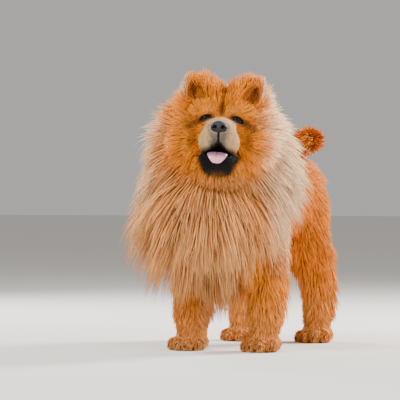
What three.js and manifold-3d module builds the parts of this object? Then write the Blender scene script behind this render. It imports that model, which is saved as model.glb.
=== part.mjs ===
// A chow chow standing foursquare, life size, its head turned to its left and its mouth open.
//
// Millimetres, +Z up. The dog faces -Y and its left side is +X. While it is being made, the
// origin is on the floor midway between the front feet. At the end the whole dog is moved so
// that the origin is at the middle of its bounding box, on the floor.
//
// Each node is a closed core, which holds the body and up to half the depth of the coat, with
// the long coat on it as flat, tapered locks that are rooted in the core and lie along the coat.

import * as THREE from "three";
import { mergeVertices } from "three/addons/utils/BufferGeometryUtils.js";
import Module from "manifold-3d";

const wasm = await Module();
wasm.setup();

const DEG = Math.PI / 180;
const GAP = 0.35; // between touching nodes

// The head turns and tips about the point midway between the eyes.
const EYES_MIDDLE = new THREE.Vector3(57, -180, 534);
const HEAD_TURN = 19 * DEG;
const HEAD_LIFT = 12 * DEG;
const HEAD_TILT = 4 * DEG;
const EYE_SPACING = 70;
const EYE_RADIUS = 12;

// Feet, as the middle of each paw on the floor
const FRONT_FEET = { left: [93, -8], right: [-88, -12] };
const HIND_FEET = { left: [100, 350], right: [-95, 345] };
const PAW_LENGTH = 104;
const PAW_WIDTH = 84;
const PAW_HEIGHT = 50;

const LOCK_SIDES = 3;

const FUR = new THREE.MeshStandardMaterial({ color: 0xc9692a, roughness: 0.85, metalness: 0 });
const MANE = new THREE.MeshStandardMaterial({ color: 0xd99a63, roughness: 0.85, metalness: 0 });
const PALE_FUR = new THREE.MeshStandardMaterial({ color: 0xd9b08a, roughness: 0.85, metalness: 0 });
const LIP = new THREE.MeshStandardMaterial({ color: 0x1b1a1b, roughness: 0.5, metalness: 0 });
const NOSE = new THREE.MeshStandardMaterial({ color: 0x23262a, roughness: 0.4, metalness: 0 });
const TONGUE = new THREE.MeshStandardMaterial({ color: 0xe6a9bd, roughness: 0.4, metalness: 0 });
const EYE = new THREE.MeshStandardMaterial({ color: 0x1a0f0a, roughness: 0.1, metalness: 0 });
const CLAW = new THREE.MeshStandardMaterial({ color: 0x2a2421, roughness: 0.45, metalness: 0 });

const X = new THREE.Vector3(1, 0, 0);
const DOWN = new THREE.Vector3(0, 0, -1);
const BACK = new THREE.Vector3(0, 1, 0);
const point = (x, y, z) => new THREE.Vector3(x, y, z);

// Repeatable random numbers from 0 to 1
function draws(seed) {
  let state = seed >>> 0;
  return () => {
    state = (state + 0x6d2b79f5) >>> 0;
    let t = Math.imul(state ^ (state >>> 15), 1 | state);
    t = (t + Math.imul(t ^ (t >>> 7), 61 | t)) ^ t;
    return ((t ^ (t >>> 14)) >>> 0) / 4294967296;
  };
}

// Joining and cutting

function solid(geometry) {
  const bare = geometry.clone();
  bare.deleteAttribute("normal");
  bare.deleteAttribute("uv");
  const merged = mergeVertices(bare, 1e-4);
  const triVerts = new Uint32Array(merged.index.array);
  const vertProperties = new Float32Array(merged.attributes.position.array);
  const made = new wasm.Manifold(new wasm.Mesh({ numProp: 3, vertProperties, triVerts }));
  if (made.volume() > 0) return made;
  for (let i = 0; i < triVerts.length; i += 3) {
    [triVerts[i + 1], triVerts[i + 2]] = [triVerts[i + 2], triVerts[i + 1]];
  }
  return new wasm.Manifold(new wasm.Mesh({ numProp: 3, vertProperties, triVerts }));
}

function join(pieces) {
  return pieces.length === 1 ? pieces[0] : wasm.Manifold.union(pieces);
}

// The largest closed surface, without loose scraps or sealed hollows
function largest(made) {
  return made.decompose().reduce((a, b) => (b.volume() > a.volume() ? b : a));
}

function geometryOf(made) {
  const mesh = made.getMesh();
  const places = new Float32Array(mesh.numVert * 3);
  for (let i = 0; i < mesh.numVert; i++) {
    places.set(mesh.vertProperties.subarray(i * mesh.numProp, i * mesh.numProp + 3), i * 3);
  }
  return new THREE.BufferGeometry()
    .setAttribute("position", new THREE.BufferAttribute(places, 3))
    .setIndex(new THREE.BufferAttribute(mesh.triVerts, 1));
}

// Shapes

// Moves every vertex of a geometry to where the rule puts it.
function bend(geometry, rule) {
  const places = geometry.attributes.position;
  for (let i = 0; i < places.count; i++) {
    const p = rule(places.getX(i), places.getY(i), places.getZ(i));
    places.setXYZ(i, p.x, p.y, p.z);
  }
  return geometry;
}

// An ellipsoid: middle and radii, then turns about X and Z, in the given frame
function ball(middle, radii, { around = 12, down = 8, tip = 0, turn = 0, frame = null, grow = 0 } = {}) {
  const geometry = new THREE.SphereGeometry(1, around, down);
  geometry.scale(radii[0] + grow, radii[2] + grow, radii[1] + grow);
  geometry.rotateX(Math.PI / 2 + tip);
  geometry.rotateZ(turn);
  geometry.translate(...middle);
  if (frame) geometry.applyMatrix4(frame);
  return solid(geometry);
}

// A limb is a tube through stations. Each gives the middle, the half width across and the half
// depth. The way round it is 0 at +X, and a quarter turn on is up for the torso, the throat for
// the neck and the back for a leg.
class Limb {
  constructor(stations, frame = null, side = X) {
    this.line = new THREE.CatmullRomCurve3(stations.map((s) => point(...s.at)), false, "catmullrom", 0.5);
    this.size = new THREE.CatmullRomCurve3(
      stations.map((s) => point(s.wide, s.deep, 0)),
      false,
      "catmullrom",
      0.5,
    );
    this.frame = frame;
    this.side = side;
  }

  ring(share) {
    const along = this.line.getTangent(share);
    const across = this.side.clone().addScaledVector(along, -this.side.dot(along)).normalize();
    const over = across.clone().cross(along);
    return { middle: this.line.getPoint(share), size: this.size.getPoint(share), along, across, over };
  }

  // The surface at a share of the length and an angle round it, at a share of the radius
  at(share, angle, reach = 1, grow = 0) {
    const r = this.ring(share);
    const p = r.middle
      .clone()
      .addScaledVector(r.across, (r.size.x + grow) * Math.cos(angle) * reach)
      .addScaledVector(r.over, (r.size.y + grow) * Math.sin(angle) * reach);
    if (share <= 0) p.addScaledVector(r.along, -grow);
    if (share >= 1) p.addScaledVector(r.along, grow);
    return this.frame ? p.applyMatrix4(this.frame) : p;
  }

  out(share, angle) {
    const step = 0.01;
    const low = Math.max(0, share - step);
    const high = Math.min(1, share + step);
    const along = this.at(high, angle).sub(this.at(low, angle));
    const round = this.at(share, angle + step).sub(this.at(share, angle - step));
    const n = along.cross(round).normalize();
    return n.dot(this.at(share, angle).sub(this.at(share, angle, 0))) < 0 ? n.negate() : n;
  }

  make(sides, steps, grow = 0) {
    const geometry = new THREE.CylinderGeometry(1, 1, 1, sides, steps);
    bend(geometry, (x, y, z) => this.at(y + 0.5, Math.atan2(z, x), Math.hypot(x, z), grow));
    return solid(geometry);
  }
}

// A dome is an ellipsoid with its poles on Y. Its share runs from the front pole to the back one.
class Dome {
  constructor(middle, radii, frame) {
    this.middle = point(...middle);
    this.radii = point(...radii);
    this.frame = frame;
  }

  onUnit(share, angle) {
    const a = share * Math.PI;
    return point(Math.cos(angle) * Math.sin(a), -Math.cos(a), Math.sin(angle) * Math.sin(a));
  }

  at(share, angle) {
    return this.onUnit(share, angle).multiply(this.radii).add(this.middle).applyMatrix4(this.frame);
  }

  out(share, angle) {
    return this.onUnit(share, angle).divide(this.radii).normalize().transformDirection(this.frame);
  }
}

// A lock of hair: flat, widest below its middle, tapering to a point, bending from its first
// direction to its last
function lock({ root, out, first, last, length, width, thick, sink = 8, steps = 4 }, grow = 0) {
  const start = root.clone().addScaledVector(out, -sink);
  const knee = root.clone().addScaledVector(first, length * 0.42);
  const tip = knee.clone().addScaledVector(last, length * 0.58 + grow);
  const path = new THREE.QuadraticBezierCurve3(start, knee, tip);
  return solid(
    bend(new THREE.ConeGeometry(1, 1, LOCK_SIDES, steps), (x, y, z) => {
      const share = y + 0.5;
      const along = path.getTangent(share);
      const across = out.clone().cross(along).normalize();
      const over = along.clone().cross(across);
      const whole = share < 1 ? 1 / (1 - share) : 0;
      const swell = Math.pow(1 - share, 0.7) * (0.72 + 0.95 * share);
      return path
        .getPoint(share)
        .addScaledVector(across, (x * whole * (width * swell + 2 * grow)) / 1.732)
        .addScaledVector(over, z * whole * (0.62 * thick * swell + grow));
    }),
  );
}

// The part of a direction that lies along a surface
function lying(direction, out) {
  return direction.clone().addScaledVector(out, -direction.dot(out)).normalize();
}

// Rows of locks on a limb or a dome. Each row gives its place, the angles in degrees that it
// spans, how many locks it has and their size. The lie says which way the hair runs at a place,
// how far it stands off and how much it sags.
function rowsOfLocks(surface, rows, lie, random) {
  const made = [];
  for (const row of rows) {
    for (let i = 0; i < row.count; i++) {
      const angle = (row.from + ((row.to - row.from) * (i + 0.5 + (random() - 0.5) * 0.4)) / row.count) * DEG;
      const share = row.place + (random() - 0.5) * 0.03;
      const root = surface.at(share, angle);
      const out = surface.out(share, angle);
      const { way, lift, sag } = lie(root, out, share, angle);
      const flow = lying(way, out);
      made.push({
        root,
        out,
        first: flow.clone().addScaledVector(out, lift).normalize(),
        last: flow.clone().addScaledVector(out, lift * 0.35).addScaledVector(DOWN, sag).normalize(),
        length: row.length * (0.88 + 0.26 * random()),
        width: row.width * (0.9 + 0.25 * random()),
        thick: row.width * 0.4,
        steps: row.steps ?? 3,
      });
    }
  }
  return made;
}

// The head's own frame: X to its left, -Y out of its face and Z up through its crown
const HEAD = (() => {
  const forward = point(Math.sin(HEAD_TURN), -Math.cos(HEAD_TURN), 0);
  const left = point(Math.cos(HEAD_TURN), Math.sin(HEAD_TURN), 0);
  const up = point(0, 0, 1);
  const ahead = forward.clone().multiplyScalar(Math.cos(HEAD_LIFT)).addScaledVector(up, Math.sin(HEAD_LIFT));
  const top = up.clone().multiplyScalar(Math.cos(HEAD_LIFT)).addScaledVector(forward, -Math.sin(HEAD_LIFT));
  const side = left.clone().multiplyScalar(Math.cos(HEAD_TILT)).addScaledVector(top, -Math.sin(HEAD_TILT));
  const crown = top.clone().multiplyScalar(Math.cos(HEAD_TILT)).addScaledVector(left, Math.sin(HEAD_TILT));
  return new THREE.Matrix4().makeBasis(side, ahead.negate(), crown).setPosition(EYES_MIDDLE);
})();
const inHead = (x, y, z) => point(x, y, z).applyMatrix4(HEAD);
const wayInHead = (x, y, z) => point(x, y, z).transformDirection(HEAD);

// Torso, neck and tail

const torso = new Limb([
  { at: [0, -122, 368], wide: 26, deep: 34 },
  { at: [0, -104, 368], wide: 74, deep: 88 },
  { at: [0, -50, 362], wide: 110, deep: 124 },
  { at: [0, 40, 358], wide: 124, deep: 138 },
  { at: [0, 130, 360], wide: 124, deep: 132 },
  { at: [0, 220, 366], wide: 116, deep: 120 },
  { at: [0, 310, 370], wide: 120, deep: 118 },
  { at: [0, 385, 364], wide: 98, deep: 100 },
  { at: [0, 422, 356], wide: 56, deep: 62 },
  { at: [0, 436, 354], wide: 20, deep: 22 },
]);

const neck = new Limb([
  { at: [-4, 70, 380], wide: 112, deep: 98 },
  { at: [-4, 5, 412], wide: 132, deep: 116 },
  { at: [6, -50, 455], wide: 132, deep: 114 },
  { at: [18, -75, 493], wide: 116, deep: 94 },
  { at: [29, -84, 525], wide: 92, deep: 70 },
]);

const tail = new Limb(
  [
    { at: [0, 340, 420], wide: 22, deep: 22 },
    { at: [2, 398, 456], wide: 24, deep: 24 },
    { at: [34, 418, 488], wide: 25, deep: 25 },
    { at: [70, 384, 498], wide: 24, deep: 24 },
    { at: [84, 326, 496], wide: 20, deep: 20 },
    { at: [82, 280, 486], wide: 10, deep: 10 },
  ],
  null,
  DOWN.clone().negate(),
);

// Legs

function foreleg(side) {
  const s = side === "left" ? 1 : -1;
  const [x, y] = FRONT_FEET[side];
  return new Limb([
    { at: [s * 70, 22, 330], wide: 52, deep: 66 },
    { at: [s * 80, 26, 260], wide: 48, deep: 56 },
    { at: [x * 0.96, y + 20, 170], wide: 42, deep: 44 },
    { at: [x, y + 12, 90], wide: 35, deep: 36 },
    { at: [x, y + 10, 38], wide: 33, deep: 36 },
    { at: [x, y + 8, 24], wide: 30, deep: 32 },
  ]);
}

function hindleg(side) {
  const s = side === "left" ? 1 : -1;
  const [x, y] = HIND_FEET[side];
  return new Limb([
    { at: [s * 62, 330, 350], wide: 54, deep: 92 },
    { at: [s * 80, 318, 270], wide: 52, deep: 82 },
    { at: [x * 0.93, y - 22, 205], wide: 44, deep: 62 },
    { at: [x, y + 10, 135], wide: 32, deep: 40 },
    { at: [x, y + 14, 80], wide: 30, deep: 32 },
    { at: [x, y + 10, 38], wide: 31, deep: 34 },
    { at: [x, y + 8, 24], wide: 28, deep: 30 },
  ]);
}

function floorUnder(height) {
  const block = new THREE.BoxGeometry(1200, 1600, 200);
  block.translate(0, 150, height - 100);
  return solid(block);
}

// A paw: a pad, a round instep and four knuckled toes, cut flat on the floor
const TOES = [
  { x: -0.36, y: -0.18, turn: -14 },
  { x: -0.13, y: -0.34, turn: -4 },
  { x: 0.13, y: -0.34, turn: 4 },
  { x: 0.36, y: -0.18, turn: 14 },
];

function paw([x, y], grow = 0) {
  const pieces = [
    ball([x, y + 10, 22], [PAW_WIDTH * 0.46, PAW_LENGTH * 0.42, PAW_HEIGHT * 0.56], { around: 8, down: 4, grow }),
  ];
  for (const toe of TOES) {
    const middle = [x + toe.x * PAW_WIDTH, y + toe.y * PAW_LENGTH, 15];
    const radii = [PAW_WIDTH * 0.15, PAW_LENGTH * 0.24, 18];
    pieces.push(ball(middle, radii, { around: 5, down: 4, turn: toe.turn * DEG, grow }));
  }
  const floor = new THREE.BoxGeometry(400, 400, 100);
  floor.translate(x, y, -50 - grow);
  return join(pieces).subtract(solid(floor));
}

function claw([x, y], toe, grow = 0) {
  const turn = toe.turn * DEG;
  const reach = toe.y * PAW_LENGTH;
  const geometry = new THREE.ConeGeometry(1, 1, 3, 2);
  bend(geometry, (cx, cy, cz) => {
    const share = cy + 0.5;
    const along = -PAW_LENGTH * 0.16 - share * 17 - grow * share;
    const drop = 15 - share * share * 9;
    const whole = share < 1 ? 1 / (1 - share) : 0;
    const thick = (1 - share * 0.55) * (share < 1 ? 1 : 0);
    const side = cx * whole * (3.2 * thick + grow);
    return point(
      x + toe.x * PAW_WIDTH + Math.cos(turn) * side - Math.sin(turn) * along,
      y + reach + Math.sin(turn) * side + Math.cos(turn) * along,
      drop + cz * whole * (4.4 * thick + grow),
    );
  });
  return solid(geometry);
}

// Head

const SKULL = { middle: [0, 74, 6], radii: [88, 80, 76] };
const head = {
  skull: (grow) => ball(SKULL.middle, SKULL.radii, { around: 14, down: 9, frame: HEAD, grow }),
  cheeks: (grow) =>
    [-1, 1].map((s) =>
      ball([s * 44, 64, -38], [56, 56, 54], { around: 9, down: 6, frame: HEAD, grow }),
    ),
  brows: (grow) =>
    [-1, 1].map((s) =>
      ball([s * 36, 16, 22], [30, 22, 13], { around: 7, down: 4, turn: s * 14 * DEG, frame: HEAD, grow }),
    ),
};

function headCore(grow = 0) {
  return join([head.skull(grow), ...head.cheeks(grow), ...head.brows(grow)]);
}

const bridge = new Limb(
  [
    { at: [0, 34, -30], wide: 26, deep: 34 },
    { at: [0, 0, -34], wide: 34, deep: 35 },
    { at: [0, -20, -36], wide: 40, deep: 34 },
    { at: [0, -40, -40], wide: 37, deep: 31 },
    { at: [0, -58, -43], wide: 30, deep: 26 },
    { at: [0, -66, -44], wide: 18, deep: 16 },
  ],
  HEAD,
);

function muzzleOuter(grow = 0) {
  const lips = [-1, 1].map((s) =>
    ball([s * 25, -26, -58], [23, 40, 31], { around: 8, down: 6, turn: s * -8 * DEG, frame: HEAD, grow }),
  );
  return join([bridge.make(10, 5, grow), ...lips]);
}

function jawOuter(grow = 0) {
  return ball([0, 20, -100], [50, 73, 34], { around: 11, down: 7, tip: -6 * DEG, frame: HEAD, grow });
}

const MOUTH = (grow = 0) =>
  ball([0, -10, -88], [36, 50, 18], { around: 9, down: 6, frame: HEAD, grow });

const tongueLine = new Limb(
  [
    { at: [0, 34, -92], wide: 18, deep: 4 },
    { at: [0, 0, -92], wide: 22, deep: 4.5 },
    { at: [0, -32, -92], wide: 24, deep: 4.5 },
    { at: [0, -50, -95], wide: 23, deep: 4.5 },
    { at: [0, -60, -106], wide: 19, deep: 4 },
    { at: [0, -59, -117], wide: 9, deep: 3 },
  ],
  HEAD,
);

function noseLeather(grow = 0) {
  return ball([0, -66, -35], [18.5, 13, 13.5], { around: 10, down: 6, frame: HEAD, grow });
}

function nostrils() {
  return [-1, 1].map((s) =>
    ball([s * 8.5, -79, -37], [4.6, 9, 4.2], { around: 6, down: 4, turn: s * 20 * DEG, frame: HEAD }),
  );
}

const eye = (s, grow = 0) =>
  ball([(s * EYE_SPACING) / 2, 8, 0], [EYE_RADIUS, EYE_RADIUS, EYE_RADIUS], {
    around: 10,
    down: 6,
    frame: HEAD,
    grow,
  });

// Lids: a bent ridge over and under each eye
function lids(s) {
  return [1, -1].map((upper) =>
    [-1, -0.5, 0, 0.5, 1].map((k) => ({
      at: [
        (s * EYE_SPACING) / 2 + k * 12,
        8 - Math.sqrt(Math.max(0, 1 - 0.55 * k * k)) * EYE_RADIUS - 0.2,
        upper * 6.2 * (1 - k * k) - s * k * 2.2,
      ],
      wide: 3.6 - 1.2 * Math.abs(k),
      deep: 3.6 - 1.2 * Math.abs(k),
    })),
  );
}

// The coat: where its locks grow, and how they lie

const FACE = inHead(0, 0, -45);
const FORWARD = wayInHead(0, -1, 0);

function awayFromFace(root) {
  const away = root.clone().sub(FACE);
  return away.addScaledVector(FORWARD, -away.dot(FORWARD)).normalize();
}

// A direction that is the weighted sum of others
function mixed(...parts) {
  return parts.reduce((sum, [way, weight]) => sum.addScaledVector(way, weight), point(0, 0, 0));
}

const both = (rows) => [...rows, ...rows.map((row) => ({ ...row, from: 180 - row.to, to: 180 - row.from }))];

const CROWN = new Dome(SKULL.middle, SKULL.radii, HEAD);
const crownLocks = rowsOfLocks(
  CROWN,
  [
    ...both([
      { place: 0.3, from: 46, to: 84, count: 2, length: 52, width: 34 },
      { place: 0.4, from: 44, to: 86, count: 2, length: 68, width: 42 },
      { place: 0.54, from: 34, to: 86, count: 3, length: 72, width: 44 },
      { place: 0.32, from: -40, to: 20, count: 3, length: 60, width: 38 },
      { place: 0.44, from: -54, to: 26, count: 4, length: 88, width: 46 },
    ]),
    { place: 0.74, from: 20, to: 160, count: 3, length: 80, width: 58 },
  ],
  (root, out) => ({ way: mixed([awayFromFace(root), 0.8], [BACK, 0.5]), lift: out.z > 0.4 ? 1.3 : 0.6, sag: 0 }),
  draws(11),
);

const maneLocks = rowsOfLocks(
  neck,
  [
    { place: 0.88, from: 168, to: 372, count: 7, length: 112, width: 60 },
    { place: 0.68, from: 150, to: 390, count: 10, length: 146, width: 66 },
    { place: 0.47, from: 125, to: 415, count: 10, length: 168, width: 72 },
    { place: 0.25, from: 15, to: 375, count: 12, length: 166, width: 72 },
  ],
  (root, out) => ({
    way: mixed([awayFromFace(root), 0.8], [BACK, out.z > 0.3 ? 0.45 : 0.15], [DOWN, 0.4]),
    lift: out.z > 0.3 ? 0.25 : 0.8,
    sag: 0.25,
  }),
  draws(23),
);

const chestLocks = rowsOfLocks(
  torso,
  [
    { place: 0.05, from: 180, to: 360, count: 5, length: 152, width: 64 },
    { place: 0.13, from: 178, to: 362, count: 7, length: 148, width: 66 },
    { place: 0.2, from: 184, to: 222, count: 2, length: 172, width: 68 },
    { place: 0.22, from: 318, to: 352, count: 2, length: 120, width: 62 },
    { place: 0.17, from: 252, to: 290, count: 3, length: 205, width: 30 },
  ],
  (root, out) => ({ way: DOWN, lift: out.z < -0.6 ? 0.9 : 0.45 + 0.6 * Math.abs(out.x), sag: 0.6 }),
  draws(37),
);

const sideRow = { from: -62, to: 42, count: 3, length: 100, width: 66 };
const bodyLocks = rowsOfLocks(
  torso,
  [
    ...both([0.38, 0.52, 0.66, 0.79].map((place) => ({ place, ...sideRow }))),
    ...[0.4, 0.55, 0.7].map((place) => ({ place, from: 52, to: 128, count: 2, length: 88, width: 60 })),
    { place: 0.5, from: 246, to: 294, count: 2, length: 84, width: 60 },
    { place: 0.9, from: 130, to: 410, count: 6, length: 92, width: 58 },
  ],
  (root, out) => ({ way: mixed([BACK, 0.75], [DOWN, 0.3 + 0.5 * Math.abs(out.x)]), lift: 0.3, sag: 0.25 }),
  draws(41),
);

const plumeLocks = rowsOfLocks(
  tail,
  [0.25, 0.44, 0.63, 0.82].map((place) => ({ place, from: 0, to: 360, count: 4, length: 88, width: 44 })),
  (root, out, share) => ({ way: tail.ring(share).along, lift: 0.45, sag: 0.1 }),
  draws(53),
);

const legCoat = {
  front: {
    rows: [0.34, 0.5, 0.66].map((place) => ({ place, from: -35, to: 215, count: 3, length: 78, width: 48 })),
    lift: 0.5,
  },
  hind: {
    rows: [
      ...[0.12, 0.3].map((place) => ({ place, from: 30, to: 150, count: 3, length: 92, width: 62 })),
      { place: 0.48, from: 40, to: 140, count: 2, length: 66, width: 44 },
    ],
    lift: 0.4,
  },
};

function feathering(end, limb, seed) {
  const { rows, lift } = legCoat[end];
  return rowsOfLocks(limb, rows, () => ({ way: mixed([DOWN, 1], [BACK, 0.35]), lift, sag: 0.5 }), draws(seed));
}

// Ears: thick rounded triangles with a hollow cup facing forward
function ear(s, grow = 0, cup = false) {
  const tall = 74;
  const base = [s * 60, 62, 56];
  const lean = 14 * DEG * s;
  const geometry = new THREE.SphereGeometry(1, 9, 7);
  bend(geometry, (x, y, z) => {
    const share = (y + 1) / 2;
    const wide = (cup ? 30 : 41) * Math.pow(Math.max(0, 1 - share * 0.62), 0.9);
    const deep = cup ? 11 : 15 * (1 - share * 0.35);
    const lift = cup ? 8 + share * (tall - 18) : share * tall;
    const side = x * (wide + grow);
    const front = -z * (deep + grow) - (cup ? 15 : 0) - share * 8;
    const high = lift + (y > 0 ? grow : -grow);
    const turned = side * Math.cos(s * 18 * DEG) + front * Math.sin(s * 18 * DEG);
    const ahead = -side * Math.sin(s * 18 * DEG) + front * Math.cos(s * 18 * DEG);
    return inHead(
      base[0] + turned * Math.cos(lean) + high * Math.sin(lean),
      base[1] + ahead,
      base[2] - turned * Math.sin(lean) + high * Math.cos(lean),
    );
  });
  return solid(geometry);
}

// Cores, one closed body each, cut clear of those made before

const SIDES = { left: 1, right: -1 };
const nodes = {};
const grown = {};

for (const [side, s] of Object.entries(SIDES)) {
  nodes[`eye_${side}`] = eye(s);
  grown[`eye_${side}`] = eye(s, GAP);
  grown[`ear_${side}`] = ear(s, GAP);
  nodes[`ear_${side}`] = ear(s).subtract(ear(s, 0, true));
}
nodes.nose = noseLeather().subtract(join(nostrils()));
grown.nose = noseLeather(GAP);
nodes.tongue = tongueLine.make(7, 6);
grown.tongue = tongueLine.make(7, 6, GAP);
nodes.muzzle = muzzleOuter().subtract(
  join([grown.nose, grown.tongue, grown.eye_left, grown.eye_right, MOUTH()]),
);
grown.muzzle = muzzleOuter(GAP);
nodes.lower_jaw = jawOuter().subtract(join([grown.tongue, grown.muzzle, MOUTH()]));
grown.lower_jaw = jawOuter(GAP);
const eyelids = Object.values(SIDES).flatMap((s) =>
  lids(s).map((stations) => new Limb(stations, HEAD).make(4, 4)),
);
const faceParts = ["eye_left", "eye_right", "ear_left", "ear_right", "nose", "muzzle", "lower_jaw", "tongue"];
const face = join([...faceParts.map((n) => grown[n]), MOUTH()]);
nodes.head = join([headCore(), ...eyelids]).subtract(face);
grown.head = headCore(GAP);
nodes.neck = neck.make(14, 6).subtract(join([grown.head, face]));
grown.neck = neck.make(14, 6, GAP);
nodes.torso = torso.make(16, 11).subtract(join([grown.neck, grown.head]));
grown.torso = torso.make(16, 11, GAP);
nodes.tail = tail.make(9, 8).subtract(grown.torso);
grown.tail = tail.make(9, 8, GAP);

const locksOf = { head: crownLocks, neck: maneLocks, torso: [...chestLocks, ...bodyLocks], tail: plumeLocks };
for (const [side, seed] of [
  ["left", 61],
  ["right", 67],
]) {
  for (const [end, feet, limb] of [
    ["front", FRONT_FEET, foreleg(side)],
    ["hind", HIND_FEET, hindleg(side)],
  ]) {
    const pawName = `paw_${end}_${side}`;
    const legName = `leg_${end}_${side}`;
    const claws = TOES.map((toe) => claw(feet[side], toe, GAP));
    TOES.forEach((toe, i) => {
      nodes[`claw_${end}_${side}_${i + 1}`] = claw(feet[side], toe);
    });
    nodes[pawName] = paw(feet[side]).subtract(join(claws));
    grown[pawName] = paw(feet[side], GAP);
    nodes[legName] = limb.make(10, 7).subtract(join([grown[pawName], grown.torso]));
    grown[legName] = limb.make(10, 7, GAP);
    locksOf[legName] = feathering(end, limb, seed);
  }
}

// Each node's locks keep clear of the other cores and of the locks on nodes before it.
const taken = [];
for (const [name, locks] of Object.entries(locksOf)) {
  const others = Object.keys(grown).filter((other) => other !== name);
  const clear = join([...others.map((other) => grown[other]), ...taken, floorUnder(3)]);
  const coat = join(locks.map((hair) => lock(hair))).subtract(clear);
  taken.push(join(locks.map((hair) => lock(hair, GAP))));
  nodes[name] = nodes[name].add(coat);
}

// The dog

const MATERIALS = {
  eye: EYE,
  ear: FUR,
  nose: NOSE,
  tongue: TONGUE,
  muzzle: PALE_FUR,
  lower: LIP,
  head: FUR,
  neck: MANE,
  torso: FUR,
  tail: FUR,
  leg: FUR,
  paw: FUR,
  claw: CLAW,
};

const dog = new THREE.Group();
for (const [name, made] of Object.entries(nodes)) {
  const mesh = new THREE.Mesh(geometryOf(largest(made)), MATERIALS[name.split("_")[0]]);
  mesh.name = name;
  dog.add(mesh);
}
const reach = new THREE.Box3().setFromObject(dog);
dog.position.set(-(reach.min.x + reach.max.x) / 2, -(reach.min.y + reach.max.y) / 2, -reach.min.z);

export default dog;
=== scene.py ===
"""A chow chow in full coat, modelled as one skin with tufts of hair over it.

The sizes below are in millimetres in the dog's own frame: the origin on the floor midway between
its front feet, +Z up, the dog facing -Y, its left side at +X. Each finished mesh is moved to the
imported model's frame and written in metres.
"""

import functools
import math

import bpy
import numpy as np
import openvdb
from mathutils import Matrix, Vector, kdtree


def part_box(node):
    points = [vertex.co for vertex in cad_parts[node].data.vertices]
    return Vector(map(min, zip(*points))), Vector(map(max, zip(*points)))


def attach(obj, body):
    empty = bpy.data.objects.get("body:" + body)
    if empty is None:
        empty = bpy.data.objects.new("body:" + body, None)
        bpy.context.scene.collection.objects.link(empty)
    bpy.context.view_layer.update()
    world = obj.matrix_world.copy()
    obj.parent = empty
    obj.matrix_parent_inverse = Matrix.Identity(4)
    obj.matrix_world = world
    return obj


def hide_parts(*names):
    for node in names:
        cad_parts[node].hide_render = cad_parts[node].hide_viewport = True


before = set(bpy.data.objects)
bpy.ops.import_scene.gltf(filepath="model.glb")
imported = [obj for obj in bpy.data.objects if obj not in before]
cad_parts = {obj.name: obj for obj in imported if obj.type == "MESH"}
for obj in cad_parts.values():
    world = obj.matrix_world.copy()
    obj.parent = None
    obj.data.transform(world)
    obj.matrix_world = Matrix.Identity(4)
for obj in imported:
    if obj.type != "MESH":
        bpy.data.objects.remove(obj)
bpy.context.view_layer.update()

bl_info = {
    "name": "Chow chow",
    "version": (1, 0, 0),
    "blender": (4, 5, 0),
    "location": "View3D > Sidebar > Chow",
    "description": "Builds a standing chow chow: skin, face, claws and coat",
    "category": "Object",
}

# The head turns and tips about the point midway between the eyes.
EYES_MIDDLE = np.array([57.0, -180.0, 534.0])
HEAD_TURN = math.radians(19)
HEAD_LIFT = math.radians(12)
HEAD_TILT = math.radians(4)
EYE_ASIDE = 35.0
EYE_DEPTH = 8.0
EYE_RADIUS = 12.0
EYE_GAP = 0.4
NOSE_TIP = np.array([0.0, -66.0, -35.0])

FEET = {
    ("front", 1): (93.0, -8.0),
    ("front", -1): (-88.0, -12.0),
    ("hind", 1): (100.0, 350.0),
    ("hind", -1): (-95.0, 345.0),
}
PAW_LENGTH = 104.0
PAW_WIDTH = 84.0
TOES = ((-0.36, -0.18, -14.0), (-0.13, -0.34, -4.0), (0.13, -0.34, 4.0), (0.36, -0.18, 14.0))

# The photograph's camera, level with the middle of the chest
CAMERA_AZIMUTH = math.radians(22)
CAMERA_DISTANCE = 5000.0
CAMERA_HEIGHT = 351.0
CAMERA_ASIDE = -63.0
FOCAL_LENGTH = 192.3
SENSOR_WIDTH = 36.0

# Hair past this place on the dog's right bends in, and strands hang between the forelegs.
RUFF_REACH = -204.0
RUFF_BEND = 0.34
STRAND_LENGTHS = (165, 245)
LOWEST_HAIR = 1.5
TUFT_WIDTHS = (0.75, 1.2)

# Shades against the coat's own colour, and how much tufts and clumps of them vary. The skin and the roots
# of the tufts are darker as painted shade under the hair.
SKIN_SHADE = 0.62
ROOT_SHADE = 0.6
TUFT_TONES = (0.84, 1.12)
CLUMP_TONES = (0.84, 1.14)
DARKEST = 0.004

# The studio: world colour and strength, and half the floor's width in metres
WORLD_COLOUR = (1.0, 0.97, 0.93, 1)
WORLD_STRENGTH = 0.48
FLOOR_REACH = 40.0

UP = np.array([0.0, 0.0, 1.0])
DOWN = -UP
BACK = np.array([0.0, 1.0, 0.0])
FAR = 60.0
REGION_FADE = 9.0
SIDES = {"left": 1, "right": -1}


def unit(v):
    return v / np.maximum(np.linalg.norm(v, axis=-1, keepdims=True), 1e-9)


def head_axes():
    """The head's left, back and up, as the columns of a matrix."""
    forward = np.array([math.sin(HEAD_TURN), -math.cos(HEAD_TURN), 0.0])
    left = np.array([math.cos(HEAD_TURN), math.sin(HEAD_TURN), 0.0])
    ahead = forward * math.cos(HEAD_LIFT) + UP * math.sin(HEAD_LIFT)
    top = UP * math.cos(HEAD_LIFT) - forward * math.sin(HEAD_LIFT)
    side = left * math.cos(HEAD_TILT) - top * math.sin(HEAD_TILT)
    crown = top * math.cos(HEAD_TILT) + left * math.sin(HEAD_TILT)
    return np.stack([side, -ahead, crown], axis=1)


HEAD = head_axes()
FORWARD = -HEAD[:, 1]


def from_head(p):
    return EYES_MIDDLE + np.asarray(p, float) @ HEAD.T


def to_head(p):
    return (p - EYES_MIDDLE) @ HEAD


def eyes_shift():
    """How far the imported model's frame is from the dog's own frame."""
    corners = [np.array(c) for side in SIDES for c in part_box(f"eye_{side}")]
    return np.mean(corners, axis=0) * 1000 - from_head((0, EYE_DEPTH, 0))


SHIFT = eyes_shift()
SHIFT[2] = 0.0


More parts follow.
